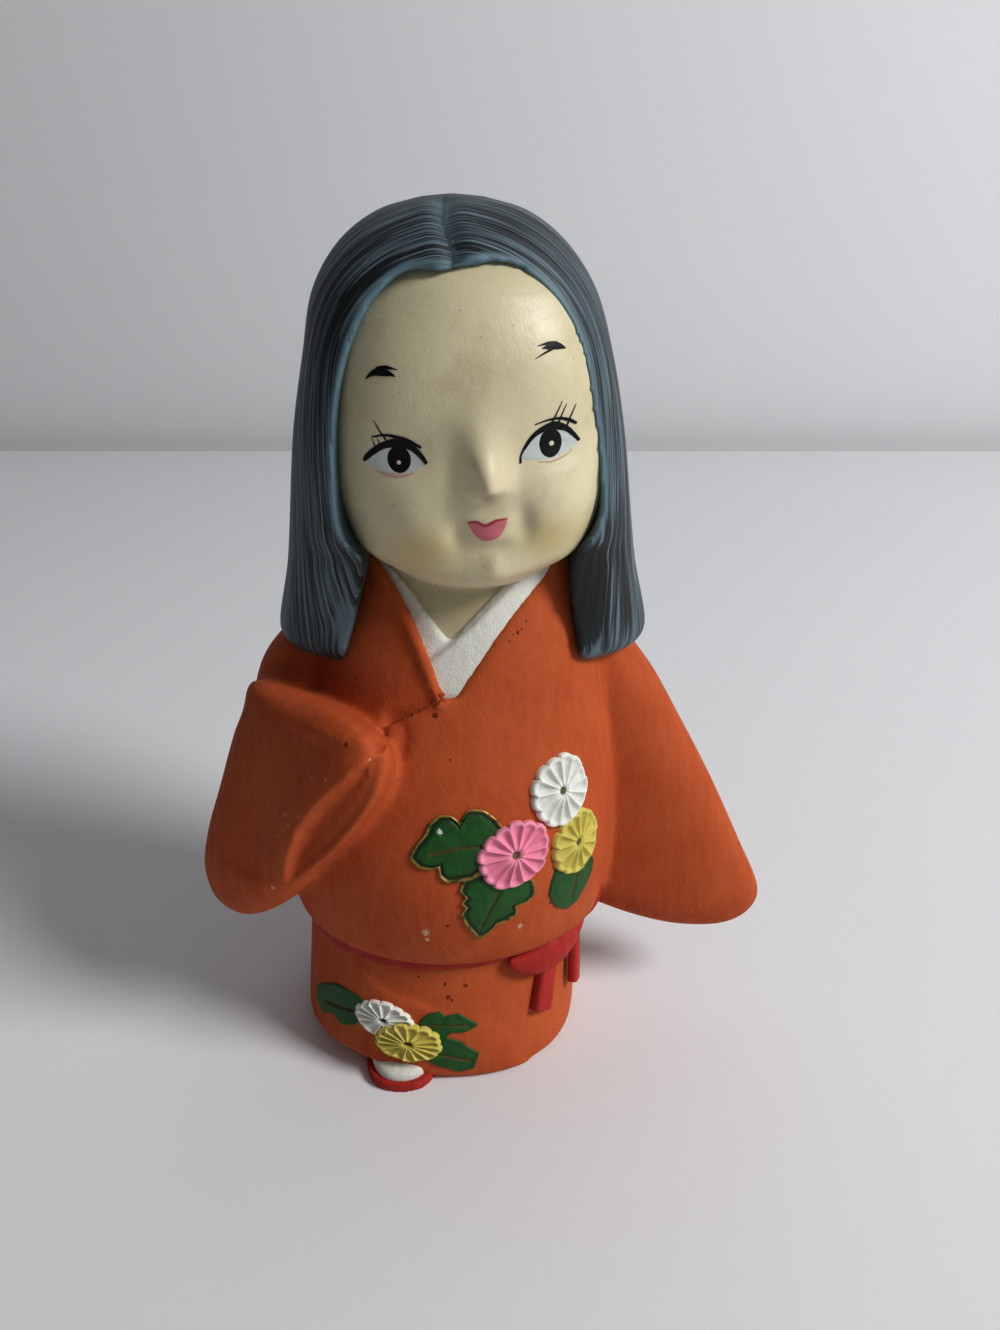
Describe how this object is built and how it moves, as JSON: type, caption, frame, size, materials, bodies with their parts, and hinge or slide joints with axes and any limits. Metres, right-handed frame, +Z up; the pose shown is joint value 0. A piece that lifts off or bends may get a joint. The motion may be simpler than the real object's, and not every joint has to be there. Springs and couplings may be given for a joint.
{
  "type": "geisha figurine",
  "caption": "Standing doll of cast clay in a flowered kimono, with long parted hair, one bent sleeve, one hanging sleeve, a sash bow and a sandal at the hem.",
  "frame": {"origin": "middle of the skirt's base, on the face it stands on", "axes": "+Z up through the head, -Y the way the figure faces, +X towards the viewer's right, the side of the hanging sleeve"},
  "size_m": [0.1173, 0.0646, 0.1659],
  "materials": {
    "painted_clay": "matt paint on fired clay: orange kimono, slate hair, cream face, red sash, white, pink and yellow flowers"
  },
  "bodies": {
    "root": {"figurine": "painted_clay"}
  },
  "joints": []
}
